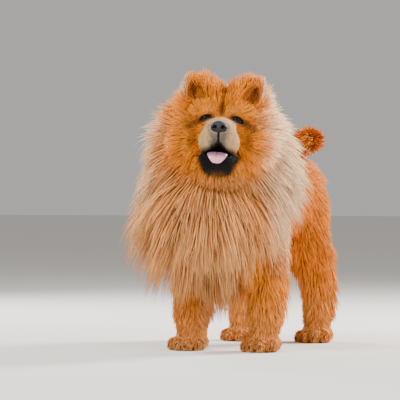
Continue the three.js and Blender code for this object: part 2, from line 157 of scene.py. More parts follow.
def metres(p):
    return (np.asarray(p) + SHIFT) / 1000


def ramp(value, low, high):
    """0 below low and 1 above high, smooth between."""
    t = np.clip((value - low) / (high - low), 0, 1)
    return t * t * (3 - 2 * t)


def ovoid(p, middle, radii):
    """Distance from the middle of an ellipsoid, where 1 is its surface."""
    return np.linalg.norm((p - np.asarray(middle)) / np.asarray(radii), axis=1)


def oval(across, up, middle, radii, slant=0.0):
    """Distance from the middle of an oval, where 1 is its rim. It slants down to its outer end."""
    aside = across - middle[0]
    high = up - middle[1] + slant * aside
    return np.sqrt((aside / radii[0]) ** 2 + (high / radii[1]) ** 2)


# Beads and chains: the dog's flesh as overlapping ellipsoids


class Bead:
    """An ellipsoid with its own axes, and the region of the coat that it carries."""

    def __init__(self, middle, radii, axes=None, region="torso", blend=12.0):
        self.middle = np.asarray(middle, float)
        self.radii = np.asarray(radii, float)
        self.axes = np.eye(3) if axes is None else axes
        self.region = region
        self.blend = blend

    def distance(self, p):
        q = (p - self.middle) @ self.axes
        shell = np.linalg.norm(q / self.radii, axis=-1)
        slope = np.linalg.norm(q / self.radii**2, axis=-1)
        return shell * (shell - 1) / np.maximum(slope, 1e-6)


def turned(degrees, tip=0.0):
    """Axes turned about Z and then tipped about their own X."""
    a, b = math.radians(degrees), math.radians(tip)
    z = np.array([[math.cos(a), -math.sin(a), 0], [math.sin(a), math.cos(a), 0], [0, 0, 1]])
    x = np.array([[1, 0, 0], [0, math.cos(b), -math.sin(b)], [0, math.sin(b), math.cos(b)]])
    return z @ x


def leaned(degrees):
    a = math.radians(degrees)
    return np.array([[math.cos(a), 0, math.sin(a)], [0, 1, 0], [-math.sin(a), 0, math.cos(a)]])


def head_bead(middle, radii, axes=None, region="face", blend=10.0):
    return Bead(from_head(middle), radii, HEAD @ (np.eye(3) if axes is None else axes), region, blend)


def spline(points, count):
    """A Catmull-Rom curve through the points."""
    p = np.asarray(points, float)
    p = np.vstack([2 * p[0] - p[1], p, 2 * p[-1] - p[-2]])
    t = np.linspace(0, len(p) - 3, count)
    i = np.minimum(t.astype(int), len(p) - 4)
    f = (t - i)[:, None]
    a, b, c, d = p[i], p[i + 1], p[i + 2], p[i + 3]
    square, cube = 2 * a - 5 * b + 4 * c - d, 3 * b - a - 3 * c + d
    return 0.5 * (2 * b + (c - a) * f + square * f**2 + cube * f**3)


def chain(stations, count, region, blend=14.0, across=(1.0, 0.0, 0.0), in_head=False):
    """Beads along a curve. Each station is x, y, z, half width and half depth."""
    table = spline(stations, count)
    middles = table[:, :3]
    along = unit(np.gradient(middles, axis=0))
    across = np.broadcast_to(np.asarray(across, float), along.shape)
    across = unit(across - along * (across * along).sum(1, keepdims=True))
    over = np.cross(across, along)
    beads = []
    for m, s, a, o, (wide, deep) in zip(middles, across, along, over, table[:, 3:5]):
        axes = np.stack([s, a, o], axis=1)
        radii = (wide, min(wide, deep) * 0.9, deep)
        if in_head:
            beads.append(Bead(from_head(m), radii, HEAD @ axes, region, blend))
        else:
            beads.append(Bead(m, radii, axes, region, blend))
    return beads


TORSO = [
    (0, -92, 368, 62, 74),
    (0, -45, 362, 92, 106),
    (0, 40, 358, 104, 122),
    (0, 130, 360, 106, 118),
    (0, 220, 366, 100, 106),
    (0, 310, 370, 100, 100),
    (0, 372, 366, 72, 78),
]
NECK = [
    (-4, 60, 384, 90, 84),
    (-4, 5, 412, 104, 94),
    (6, -45, 455, 104, 92),
    (17, -72, 493, 92, 78),
    (29, -84, 520, 76, 64),
]
TAIL = [
    (0, 350, 422, 16, 16),
    (2, 396, 454, 15, 15),
    (34, 416, 486, 14, 14),
    (70, 384, 497, 13, 13),
    (84, 326, 495, 10, 10),
    (82, 288, 487, 7, 7),
]


def foreleg(s):
    x, y = FEET["front", s]
    return [
        (s * 66, 22, 320, 46, 54),
        (s * 78, 26, 250, 44, 46),
        (x * 0.98, y + 20, 170, 37, 37),
        (x, y + 12, 90, 32, 32),
        (x, y + 9, 36, 27, 30),
    ]


def hindleg(s):
    x, y = FEET["hind", s]
    return [
        (s * 58, 330, 345, 46, 80),
        (s * 74, 318, 270, 44, 70),
        (x * 0.93, y - 22, 205, 34, 50),
        (x, y + 12, 135, 26, 33),
        (x, y + 16, 80, 25, 26),
        (x, y + 9, 36, 25, 28),
    ]


def paw_beads(x, y):
    beads = [Bead((x, y + 8, 20), (PAW_WIDTH * 0.4, PAW_LENGTH * 0.38, 25), region="paw", blend=10)]
    for tx, ty, turn in TOES:
        middle = (x + tx * PAW_WIDTH * 0.93, y + ty * PAW_LENGTH * 0.95, 13)
        beads.append(Bead(middle, (PAW_WIDTH * 0.13, PAW_LENGTH * 0.22, 15), turned(turn), "paw", 6))
    return beads


def head_beads():
    beads = [head_bead((0, 74, 4), (78, 72, 62), region="crown", blend=20)]
    for s in (-1, 1):
        beads += [
            head_bead((s * 35, 66, 40), (36, 46, 42), region="crown", blend=8),
            head_bead((s * 33, 14, 21), (27, 19, 15), turned(s * 14), blend=9),
            head_bead((s * 44, 58, -38), (48, 48, 46), blend=22),
            head_bead((s * EYE_ASIDE, EYE_DEPTH, 0), (15.2, 14.6, 14.4), blend=6),
            head_bead((s * 25, -26, -60), (19, 35, 26), turned(-s * 8), "muzzle", 8),
            head_bead((s * 21, 2, -20), (12, 24, 16), turned(s * 10), "muzzle", 10),
        ]
    bridge = [
        (0, 34, -28, 24, 32),
        (0, 0, -32, 28, 31),
        (0, -20, -35, 33, 30),
        (0, -38, -39, 31, 27),
        (0, -47, -42, 25, 21),
    ]
    beads += chain(bridge, 8, "muzzle", 8, in_head=True)
    beads += [
        head_bead((0, 24, -98), (45, 66, 29), turned(0, -6), "jaw", 10),
        head_bead((0, -24, -104), (33, 24, 21), region="jaw", blend=10),
    ]
    return beads


def ear_beads(s):
    """A thick rounded ear: its outer form and the cup that is cut from it."""
    lean = turned(-s * 18) @ leaned(s * 14)
    outer = [
        head_bead((s * 65, 46, 60), (31, 14, 26), lean, "ear", 5),
        head_bead((s * 69, 42, 77), (22, 11, 21), lean, "ear", 7),
        head_bead((s * 72, 38, 90), (12, 8, 14), lean, "ear", 7),
    ]
    cup = [
        head_bead((s * 65, 30, 64), (21, 13, 18), lean, "ear", 3),
        head_bead((s * 69, 29, 79), (12, 11, 14), lean, "ear", 4),
    ]
    return outer, cup


def face_cuts():
    cuts = [
        head_bead((0, -20, -88), (30, 48, 12), blend=3),
        head_bead((0, 20, -87), (34, 40, 13), blend=4),
        head_bead((0, -40, -80), (17, 40, 10), blend=3),
        head_bead((0, -48, -73), (8, 34, 8), blend=3),
    ]
    philtrum = [(0, -68, -44, 1.6, 4), (0, -66, -56, 1.8, 5), (0, -62, -68, 3.4, 7)]
    cuts += chain(philtrum, 6, "muzzle", 2.5, in_head=True)
    brows = [(0, -4, 12, 3, 5), (0, 4, 36, 5, 8), (0, 20, 66, 6, 10)]
    cuts += chain(brows, 8, "face", 8, in_head=True)
    for s in (-1, 1):
        cuts += [
            head_bead((s * EYE_ASIDE, EYE_DEPTH, 0), (EYE_RADIUS + EYE_GAP,) * 3, blend=0.5),
            head_bead((s * 35.5, -7, -0.4), (10.6, 9, 5.0), leaned(s * 17), blend=1.6),
        ]
        fold = [(s * 47, 0, -5, 2.5, 3), (s * 56, 9, -10, 3, 4), (s * 66, 22, -18, 3, 4)]
        cuts += chain(fold, 5, "face", 6, in_head=True)
        crease = [(s * 38, 2, -22, 3, 4), (s * 46, 6, -48, 4, 5), (s * 50, 10, -72, 4, 5)]
        cuts += chain(crease, 6, "face", 8, in_head=True)
    return cuts


# Fields: distances on a grid, blended together, and the surface where they are zero


def spaced(stretches):
    """Grid lines along an axis, from (low, high, step) stretches."""
    lines = [np.arange(low, high, step) for low, high, step in stretches]
    return np.concatenate(lines + [[stretches[-1][1]]]).astype(np.float64)


class Field:
    def __init__(self, x, y, z):
        self.lines = (x, y, z)
        self.values = np.full((len(x), len(y), len(z)), FAR, np.float32)

    def block(self, bead):
        """The part of the grid that a bead can change, and where it is."""
        reach = np.abs(bead.axes) @ bead.radii + bead.blend + 10
        cut = []
        for axis, line in enumerate(self.lines):
            low = np.searchsorted(line, bead.middle[axis] - reach[axis])
            high = np.searchsorted(line, bead.middle[axis] + reach[axis])
            cut.append(slice(max(low - 1, 0), high + 1))
        grid = np.meshgrid(*[line[c] for line, c in zip(self.lines, cut)], indexing="ij")
        return tuple(cut), np.stack(grid, axis=-1)

    def join(self, beads, side):
        """Blends beads in: side is 1 to add them and -1 to cut them away."""
        for bead in beads:
            block, p = self.block(bead)
            a, b = side * self.values[block], bead.distance(p)
            h = np.maximum(bead.blend - np.abs(a - b), 0) / bead.blend
            self.values[block] = side * (np.minimum(a, b) - h * h * bead.blend / 4)
        return self

    def add(self, beads):
        return self.join(beads, 1)

    def cut(self, beads):
        return self.join(beads, -1)

    def flatten(self, height):
        """Cuts away all that is below a height."""
        z = self.lines[2]
        self.values = np.maximum(self.values, (height - z)[None, None, :].astype(np.float32))
        return self

    def surface(self):
        """Vertices and quads of the surface, facing out."""
        grid = openvdb.FloatGrid(FAR)
        grid.copyFromArray(self.values)
        points, quads = grid.convertToQuads(isovalue=0.0)
        places = [np.interp(points[:, a], np.arange(len(line)), line) for a, line in enumerate(self.lines)]
        return np.stack(places, axis=1), quads.astype(np.int64)

    def sample(self, p):
        """The distance at each point."""
        index = []
        for a, line in enumerate(self.lines):
            index.append(np.clip(np.interp(p[:, a], line, np.arange(len(line))), 0, len(line) - 1.001))
        low = [i.astype(int) for i in index]
        part = [i - k for i, k in zip(index, low)]
        total = np.zeros(len(p))
        for corner in range(8):
            bits = [(corner >> a) & 1 for a in range(3)]
            weight = np.ones(len(p))
            for f, bit in zip(part, bits):
                weight *= f if bit else 1 - f
            total += weight * self.values[tuple(k + bit for k, bit in zip(low, bits))]
        return total

    def slope(self, p, step=2.0):
        rise = [self.sample(p + d) - self.sample(p - d) for d in np.eye(3) * step]
        return unit(np.stack(rise, axis=1))


# Meshes


def mesh_object(name, points, faces, smooth=True):
    """A mesh object from points in the dog's frame. Each face has the same number of corners."""
    mesh = bpy.data.meshes.new(name)
    faces = np.asarray(faces)
    count, corners = faces.shape
    mesh.vertices.add(len(points))
    mesh.vertices.foreach_set("co", metres(points).astype(np.float32).ravel())
    mesh.loops.add(count * corners)
    mesh.loops.foreach_set("vertex_index", faces.astype(np.int32).ravel())
    mesh.polygons.add(count)
    mesh.polygons.foreach_set("loop_start", np.arange(0, count * corners, corners, dtype=np.int32))
    mesh.polygons.foreach_set("use_smooth", np.full(count, smooth))
    mesh.update(calc_edges=True)
    made = bpy.data.objects.new(name, mesh)
    bpy.context.scene.collection.objects.link(made)
    return made


def paint(made, name, colours):
    """Stores a colour for each vertex."""
    layer = made.data.color_attributes.new(name, "FLOAT_COLOR", "POINT")
    rgba = np.ones((len(colours), 4), np.float32)
    rgba[:, :3] = colours
    layer.data.foreach_set("color", rgba.ravel())


def finish_piece(made, material, nodes=()):
    made.data.materials.append(material)
    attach(made, "root")
    if nodes:
        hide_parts(*nodes)


def smooth_normals(points, quads):
    """Vertex normals of a quad mesh."""
    a, b, c, d = (points[quads[:, k]] for k in range(4))
    faces = np.cross(c - a, d - b)
    normals = np.zeros_like(points)
    for k in range(4):
        np.add.at(normals, quads[:, k], faces)
    return unit(normals)


# Markings, painted shade and painted highlight, the same on the coat and the skin


# Ovals on the face from the front: middle and radii across and up, and slant
LIDS = ((35.5, 0.0), (13.0, 7.6), 0.3)
EYE_RIM = ((36.0, -0.5), (15.0, 7.5), 0.3)
OUTER_FOLD = ((66.0, -9.0), (30.0, 13.0), 0.3)
CHEEK_FOLD = ((62.0, -42.0), (13.0, 38.0))
EAR_CUP = ((68.0, 72.0), (18.0, 25.0))


def linear(colour):
    return np.array(colour[:3], float)


def plain(colour, points):
    """The same colour at every point."""
    return np.broadcast_to(linear(colour), points.shape).copy()


def blended(base, other, amount):
    """Colours taken towards another colour by an amount for each."""
    return base + (linear(other) - base) * amount[:, None]


def furrows(h):
    """Where the face is folded: between the brows, outside the eyes and beside the muzzle. It gives the
    painted shade in these folds, and shorter hair there.
    """
    x, y, z = h.T
    facing = ramp(-y, -60, -30)
    most = ramp(12 - np.abs(x), 0, 12) * ramp(z, 0, 18) * ramp(-z, -78, -42) * facing
    for s in (-1, 1):
        outer = oval(s * x, z, *OUTER_FOLD)
        beside = oval(s * x + 0.12 * z, z, *CHEEK_FOLD)
        for away, depth in ((outer, 1.0), (beside, 0.7)):
            most = np.maximum(most, depth * (ramp(-away, -1.35, -0.4) * facing))
    return most


def body_markings_and_highlight(out, p, h, colours):
    """Tan chest, deeper flanks, pale edges of the ruff (partly paler hair, partly painted highlight) and
    paler feet.
    """
    x, y, z = p.T
    on_head = ramp(-h[:, 1], -150, -110) * ramp(h[:, 2], -150, -100)
    chest = ramp(-y, -60, 40) * ramp(-z, -430, -330) * ramp(150 - np.abs(x + 34), -70, 20)
    chest *= 1 - ramp(np.abs(x), 42, 60) * ramp(-z, -225, -165) * ramp(y, -85, -55)
    out = blended(out, colours.chest, 0.85 * chest * (1 - 0.6 * on_head))
    flank = ramp(y, 60, 200) * ramp(z, 60, 200)
    out = blended(out, colours.deep, 0.45 * flank)
    # pale bands at the ruff's sides: partly the hair's paler tips, partly painted highlight, strongest on
    # the dog's left
    left_edge = ramp(x, 100, 165) * ramp(y, -150, -40) * ramp(-y, -190, -60)
    out = blended(out, colours.cream, 0.85 * left_edge * ramp(z, 130, 260))
    right_edge = ramp(-x, 98, 190) * ramp(-y, -150, -50)
    out = blended(out, colours.cream, 0.6 * right_edge * ramp(z, 200, 330))
    return blended(out, colours.chest, 0.4 * ramp(-z, -170, -25))


def muzzle_markings(out, h, colours):
    """Cream muzzle, grey next to the nose and beside its middle line."""
    x, y, z = h.T
    reach = np.linalg.norm(h - NOSE_TIP, axis=1)
    muzzle = ramp(-reach, -92, -58) * ramp(-y, -14, 12) * ramp(z, -104, -88)
    out = blended(out, colours.muzzle, muzzle)
    middle_line = ramp(30 - np.abs(x), 0, 17) * ramp(-z, 38, 48)
    grey = np.maximum(ramp(-reach, -34, -16), middle_line) * ramp(-z, 20, 32)
    return blended(out, colours.grey, 0.88 * grey * muzzle)


def fold_shade_and_markings(out, h, colours):
    """Painted shade in the furrows, black lids, and dark ear cups with pale outer edges."""
    x, y, z = h.T
    deep = linear(colours.deep)
    # painted shade: the coat darkened in the folds of the face
    out = blended(out, deep * 0.22, 0.88 * furrows(h))
    facing = ramp(-y, -30, -10)
    for s in (-1, 1):
        rim = oval(s * x, z, *EYE_RIM)
        out = blended(out, deep * 0.3, 0.7 * ramp(-rim, -1.7, -1.1) * facing)
        out = blended(out, colours.lip, ramp(-rim, -1.12, -0.92) * facing)
        cup = oval(s * x, z, *EAR_CUP)
        out = blended(out, deep * 0.42, 0.85 * ramp(-cup, -1.1, -0.75) * ramp(-y, -46, -36))
        edge = ramp(s * x, 80, 94) * ramp(z, 58, 78) * ramp(-y, -80, -50)
        out = blended(out, colours.cream, 0.6 * edge)
    return out


def mouth_markings(out, h, colours):
    """Black lips, chin and mouth."""
    x, y, z = h.T
    jaw_side = 60 - 0.62 * np.maximum(-z - 98, 0) - np.abs(x)
    chin = ramp(-z, 76, 86) * ramp(jaw_side, 0, 14) * ramp(-y, -54, -32) * ramp(z, -146, -130)
    gape = ramp((-z - 64) * 1.1 - np.abs(x), -3, 1) * ramp(-y, -60, -50) * ramp(z, -100, -96)
    split = ramp(3.6 - np.abs(x), 0, 1.6) * ramp(-y, 48, 54) * ramp(z, -74, -72) * ramp(-z, 42, 46)
    inside = ramp(-ovoid(h, (0, -10.4, -88), (31, 52, 15)), -1.1, -1.0)
    return blended(out, colours.lip, np.maximum.reduce([chin, gape, split, inside]))


def coat_colour(p, colours):
    """The coat's colour at places in the dog's frame, with painted shade in the folds of the face and
    painted highlight on the ruff's sides.
    """
    h = to_head(p)
    out = body_markings_and_highlight(plain(colours.coat, p), p, h, colours)
    out = muzzle_markings(out, h, colours)
    out = fold_shade_and_markings(out, h, colours)
    out = mouth_markings(out, h, colours)
    return np.clip(out, DARKEST, 1)


# Regions of the coat: lengths, widths and spacings in millimetres, lift in degrees


LENGTH, WIDTH, SPACING, LIFT, DROOP, SETTLE, CLUMP = range(7)
REGIONS = {
    "muzzle": (5, 1.4, 1.7, 16, 0.0, 0.9, 0.0),
    "jaw": (7, 1.6, 2.0, 22, 0.1, 0.6, 0.0),
    "face": (30, 2.2, 2.6, 34, 0.0, 0.4, 0.25),
    "crown": (70, 3.0, 3.1, 60, 0.05, 0.1, 0.4),
    "ear": (13, 1.9, 2.4, 24, 0.0, 0.5, 0.1),
    "neck": (150, 3.7, 2.55, 50, 0.42, 0.25, 0.6),
    "chest": (163, 3.7, 2.9, 42, 0.95, 0.3, 0.65),
    "torso": (66, 4.0, 4.7, 30, 0.25, 0.6, 0.5),
    "rump": (80, 4.0, 4.4, 34, 0.5, 0.5, 0.5),
    "tail": (60, 2.2, 1.9, 22, 0.0, 1.5, 0.12),
    "thigh": (54, 3.6, 4.4, 26, 0.5, 0.6, 0.45),
    "foreleg": (40, 3.0, 4.1, 32, 0.55, 0.5, 0.4),
    "paw": (14, 2.2, 2.8, 24, 0.1, 0.6, 0.2),
}
COLUMN = {name: i for i, name in enumerate(REGIONS)}

# On the head each goes by the distance from the tip of the nose.
FROM_NOSE = {
    LENGTH: ([0, 60, 80, 92, 104, 120, 145, 180, 240], [5, 7, 8, 13, 27, 42, 60, 74, 80]),
    LIFT: ([0, 60, 85, 105, 135, 170], [10, 13, 20, 34, 50, 58]),
    SPACING: ([0, 70, 95, 120, 170], [1.6, 1.8, 2.2, 2.8, 3.2]),
    WIDTH: ([0, 70, 95, 120, 170], [1.3, 1.4, 2.0, 2.7, 3.2]),
}
HEAD_REGIONS = ("muzzle", "jaw", "face", "crown")
SHORT_HAIR = 14


def part(share, *names):
    """How much the named regions count at each place."""
    return sum(share[:, COLUMN[name]] for name in names)


class Dog:
    """The skin's beads and field, and what the coat needs to know about them."""

    def __init__(self):
        self.beads = chain(TORSO, 12, "torso", 20)
        for bead in self.beads:
            if bead.middle[1] < -20:
                bead.region = "chest"
            if bead.middle[1] > 320:
                bead.region = "rump"
        self.beads += chain(NECK, 8, "neck", 24)
        for s in (-1, 1):
            self.beads += chain(foreleg(s), 14, "foreleg", 14)
            self.beads += chain(hindleg(s), 14, "thigh", 14)
        self.beads += head_beads()
        self.beads += chain(TAIL, 14, "tail", 8, across=(0, 0, 1))
        for x, y in FEET.values():
            self.beads += paw_beads(x, y)
        self.field = Field(
            spaced([(-156, 0, 5.4), (0, 114, 2.0), (114, 168, 5.4)]),
            spaced([(-275, -130, 2.0), (-130, 450, 5.4)]),
            spaced([(-6, 50, 3.6), (50, 388, 5.8), (388, 575, 2.0), (575, 668, 3.4)]),
        )
        self.field.add(self.beads)
        for s in (-1, 1):
            outer, cup = ear_beads(s)
            self.field.add(outer).cut(cup)
            self.beads += outer
        self.field.cut(face_cuts()).flatten(0.0)
        self.points, self.quads = self.field.surface()
        self.points[:, 2] = np.maximum(self.points[:, 2], 0)
        self.normals = smooth_normals(self.points, self.quads)

    def shares(self, p):
        """How much each region counts at each place."""
        nearest = np.full((len(p), len(REGIONS)), 1e3)
        for bead in self.beads:
            column = COLUMN[bead.region]
            near = np.linalg.norm(p - bead.middle, axis=1) < bead.radii.max() + FAR
            nearest[near, column] = np.minimum(nearest[near, column], bead.distance(p[near]))
        weight = np.exp(-(nearest - nearest.min(1, keepdims=True)) / REGION_FADE)
        return weight / weight.sum(1, keepdims=True)


def lie_of_coat(p, n, share):
    """The way the hair runs at each place, before it is laid on the skin."""
    h = to_head(p)
    from_nose = unit(h - np.array([0, -60, -38])) @ HEAD.T
    away = p - from_head((0, 0, -45))
    away = unit(away - (away @ FORWARD)[:, None] * FORWARD)
    aside = np.sign(h[:, :1]) * ramp(np.abs(h[:, :1]), 0, 25)
    over_head = unit(away * 0.8 + BACK * 0.35 + 0.35 * aside * HEAD[:, 0])
    upper = ramp(n[:, 2:], 0.0, 0.5)
    ruff = unit(away * 0.8 + BACK * (0.08 + 0.4 * upper) + DOWN * 0.4)
    body = unit(BACK * 0.75 + DOWN * (0.25 + 0.6 * np.abs(n[:, :1])))
    down = unit(DOWN + BACK * 0.2)
    tail_line = spline(TAIL, 60)
    nearest = np.zeros(len(p), int)
    on_tail = part(share, "tail") > 0.1
    gaps = p[on_tail][:, None, :] - tail_line[None, :, :3]
    nearest[on_tail] = np.argmin((gaps**2).sum(2), axis=1)
    along_tail = unit(np.gradient(tail_line[:, :3], axis=0))[nearest]
    ways = {
        "muzzle": from_nose,
        "jaw": from_nose,
        "face": from_nose,
        "crown": over_head,
        "ear": HEAD[:, 2],
        "neck": ruff,
        "chest": unit(DOWN + 0.65 * n * np.array([1, 0, 0])),
        "torso": body,
        "rump": unit(body + DOWN * 0.5),
        "tail": along_tail,
        "thigh": down,
        "foreleg": down,
        "paw": unit(-BACK + DOWN * 0.6),
    }
    way = sum(share[:, [COLUMN[name]]] * towards for name, towards in ways.items())
    return unit(way - n * (way * n).sum(1, keepdims=True))


def bare(p):
    """Where no hair grows: the pads, the eyes, the inside of the mouth and the nose."""
    h = to_head(p)
    x, y, z = h.T
    gone = (p[:, 2] < 3.0) & (np.abs(z) > 200)
    for s in (-1, 1):
        gone |= (oval(s * x, z, *LIDS) < 1) & (y < 25)
    gone |= ovoid(h, (0, 6.2, -86), (34, 62, 17)) < 1
    wedge = np.minimum((-z - 66) * 1.1, 21)
    gone |= (wedge > np.abs(x)) & (y < -15) & (z > -98)
    return gone | (ovoid(h, NOSE_TIP, (19, 15, 14.5)) < 1.02)


def head_numbers(numbers, h, share):
    """Hair of the head: short at the nose, long on the two lobes of the crown."""
    x, _, z = h.T
    reach = np.linalg.norm(h - NOSE_TIP, axis=1)
    lobe = np.exp(-(((np.abs(x) - 42) / 25) ** 2))
    right_cheek = ramp(-x, 30, 70) * ramp(z, -60, -20) * ramp(-z, -30, 0)
    ear_foot = ramp(-ovoid(np.abs(h), (66, 26, 46), (26, 30, 24)), -1.25, -0.6) * (z > 0)
    shorter = (
        1 - 0.65 * furrows(h),
        1 - ramp(z, 30, 70) * (0.62 - 0.54 * lobe),
        1 - 0.2 * right_cheek,
        1 - 0.7 * ear_foot,
    )
    for column, (distances, values) in FROM_NOSE.items():
        value = np.interp(reach, distances, values)
        if column == LENGTH:
            value = value * np.prod(shorter, axis=0)
        numbers[:, column] += part(share, *HEAD_REGIONS) * (value - numbers[:, column])


def numbers_at(p, n, share):
    """The numbers of the hair at each place, in the order of the regions' columns."""
    numbers = share @ np.array(list(REGIONS.values()))
    length, lift = numbers[:, LENGTH], numbers[:, LIFT]
    h = to_head(p)
    head_numbers(numbers, h, share)
    # the backs of the legs are feathered, and their feet short
    legs = part(share, "foreleg", "thigh")
    length += legs * ramp(n[:, 1], -0.1, 0.7) * ramp(p[:, 2], 70, 150) * 34
    length *= 1 - 0.55 * ramp(-p[:, 2], -120, -50) * legs
    # the ruff is longest at the sides, and longer on the side that the head turns from
    right = n[:, 0] < 0
    ruff = part(share, "neck") * ramp(np.abs(n[:, 0]), 0.2, 0.8)
    high = ramp(p[:, 2], 400, 470)
    length *= 1 + ruff * np.where(right, 0.25 - 0.38 * high, -0.16 * high)
    lift += 9 * ruff * right
    corner = part(share, "neck", "chest") * ramp(-n[:, 0], 0.15, 0.6) * ramp(-n[:, 1], 0.1, 0.6)
    length *= 1 + 0.2 * corner * (1 - high)
    length *= 1 + 0.16 * part(share, "chest") * ramp(-n[:, 0], 0.1, 0.7)
    lift -= 24 * part(share, "neck") * ramp(n[:, 2], 0.3, 0.8)
    # the rim of each ear has longer hair than its cup, and the back shorter hair than the flanks
    length += 14 * part(share, "ear") * ramp(np.abs(h[:, 0]), 72, 88)
    length *= 1 - 0.3 * part(share, "torso") * ramp(n[:, 2], 0.3, 0.9)
    return numbers


class Hair:
    """Tufts rooted on the skin: where each starts, which way is out, its region and its numbers."""

    def __init__(self, dog, thinning, rng):
        quads, points = dog.quads, dog.points
        a, b, c, d = (points[quads[:, k]] for k in range(4))
        area = 0.5 * np.linalg.norm(np.cross(c - a, d - b), axis=1)
        centre = (a + b + c + d) / 4
        share = dog.shares(centre)
        numbers = numbers_at(centre, dog.normals[quads[:, 0]], share)
        expected = area / (numbers[:, SPACING] * thinning) ** 2 * (1 - bare(centre))
        face = np.repeat(np.arange(len(quads)), rng.poisson(expected))
        u, v = rng.random(len(face)), rng.random(len(face))
        weights = [(1 - u) * (1 - v), u * (1 - v), u * v, (1 - u) * v]
        self.root = sum(w[:, None] * points[quads[face, k]] for k, w in enumerate(weights))
        self.out = unit(sum(w[:, None] * dog.normals[quads[face, k]] for k, w in enumerate(weights)))
        self.share = share[face]
        self.numbers = numbers_at(self.root, self.out, self.share)


def grow(dog, hair, picked, steps, curl, follow, rng):
    """The middle line of each picked tuft, as an array of tufts by points.

    Where it follows, the lie is worked out again at each step, as round a curled tail.
    """
    root, out, share = hair.root[picked], hair.out[picked], hair.share[picked]
    numbers = hair.numbers[picked]
    flow = lie_of_coat(root, out, share)
    flow = unit(flow + 0.11 * rng.standard_normal(root.shape))
    uneven = 0.22 + 0.26 * ramp(numbers[:, LENGTH], 60, 130)
    length = numbers[:, LENGTH] * (1.16 - uneven * 1.7 * rng.random(len(root)))
    under = (np.abs(root[:, 0] + 6) < 34) & (np.abs(root[:, 1] + 45) < 45) & (root[:, 2] < 285)
    strand = under & (out[:, 2] < -0.45)
    length[strand] = rng.uniform(*STRAND_LENGTHS, strand.sum())
    lift = np.radians(numbers[:, LIFT] + 5 * rng.standard_normal(len(root)))[:, None]
    way = unit(flow * np.cos(lift) + out * np.sin(lift))
    line = [root - out * np.minimum(2.5, numbers[:, [WIDTH]])]
    step = (length / steps)[:, None]
    p = line[0]
    droop = numbers[:, [DROOP]] / steps
    settle = numbers[:, [SETTLE]] / steps
    for k in range(1, steps + 1):
        p = p + way * step
        clear = 1.0 + 0.10 * step[:, 0] * k
        depth = dog.field.sample(p)
        sunk = depth < clear
        if sunk.any():
            push = np.clip(clear[sunk] - depth[sunk], 0, 12)
            p[sunk] += dog.field.slope(p[sunk]) * push[:, None]
        line.append(p)
        if follow:
            flow = lie_of_coat(p, dog.field.slope(p), share)
        way = unit(way + droop * DOWN + settle * (flow - way) + curl * rng.standard_normal(way.shape))
    line = np.stack(line, axis=1)
    line[:, :, 0] += RUFF_BEND * np.maximum(RUFF_REACH - line[:, :, 0], 0)
    return line


def clumped(line, amounts, every, rng):
    """Tufts drawn towards their nearest guide, so that tips gather in points, and which guide."""
    count = len(line)
    guides = rng.choice(count, max(1, count // every), replace=False)
    tree = kdtree.KDTree(len(guides))
    for i, g in enumerate(guides):
        tree.insert(line[g, 0], i)
    tree.balance()
    nearest = np.array([tree.find(p)[1] for p in line[:, 0]])
    guide = line[guides[nearest]]
    share = np.linspace(0, 1, line.shape[1])[None, :, None]
    pull = (amounts * rng.uniform(0.4, 1.15, count))[:, None, None] * share**1.3
    offset = (line[:, :1] - guide[:, :1]) * (1 - 0.75 * share)
    return line + (guide + offset - line) * pull, nearest


def tuft_mesh(line, out, width, swell, thickness=0.42):
    """Three-sided tapering tufts round the lines, as points and triangles."""
    count, rings = line.shape[0], line.shape[1] - 1
    along = unit(np.gradient(line, axis=1))
    across = unit(np.cross(along, out[:, None, :]))
    over = np.cross(across, along)
    size = (width[:, None] * swell[None, :-1])[:, :, None]
    body = line[:, :-1]
    left = body + across[:, :-1] * size * 0.5
    right = body - across[:, :-1] * size * 0.5
    top = body + over[:, :-1] * size * thickness
    ring = np.stack([left, top, right], axis=2).reshape(count, rings * 3, 3)
    points = np.concatenate([ring, line[:, -1:]], axis=1)
    faces = []
    for r in range(rings - 1):
        for k in range(3):
            a, b = r * 3 + k, r * 3 + (k + 1) % 3
            c, d = a + 3, b + 3
            faces += [(a, b, d), (a, d, c)]
    last = (rings - 1) * 3
    faces += [(last + k, last + (k + 1) % 3, rings * 3) for k in range(3)]
    faces = np.array(faces)
    per = rings * 3 + 1
    all_faces = (faces[None] + (np.arange(count) * per)[:, None, None]).reshape(-1, 3)
    return points.reshape(-1, 3), all_faces, per


SWELL = {
    5: np.array([0.85, 1.0, 0.86, 0.55, 0.0]),
    3: np.array([1.0, 0.7, 0.0]),
}


def turn_of(a, b):
    """The turn from b towards a, from 0 to 1."""
    return np.arctan2(a, b) / (2 * np.pi) + 0.5


def wrap(p, kind):
    """A place on an unwrap of the skin's own shape, from 0 to 1 each way."""
    if kind == "head":
        q = unit((to_head(p) - np.array([0, 50, -10])) / np.array([80, 90, 85]))
        return np.stack([turn_of(q[:, 0], q[:, 2]), np.arccos(q[:, 1]) / np.pi], axis=1)
    if kind == "ruff":
        along = unit(np.array([33, -154, 145.0]))
        side = unit(np.cross(along, UP))
        q = p - np.array([10, -10, 420])
        return np.stack([turn_of(q @ side, q @ np.cross(side, along)), (q @ along + 240) / 480], axis=1)
    if kind == "leg":
        left, front = p[:, 0] > 0, p[:, 1] < 150
        q = p[:, :2] - np.stack([np.where(left, 90, -90), np.where(front, 12, 345)], axis=1)
        across = (turn_of(q[:, 0], q[:, 1]) * 0.96 + 0.02 + left + 2 * front) / len(FEET)
        return np.stack([across, np.clip(p[:, 2] / 420, 0, 1)], axis=1)
    middle, reach, length = ((40, 360, 470), 110, 220) if kind == "tail" else ((0, 150, 365), 300, 640)
    q = p - np.array(middle)
    return np.stack([turn_of(q[:, 0], q[:, 2]), (q[:, 1] + reach) / length], axis=1)


BAKE_PATCH = 0.003


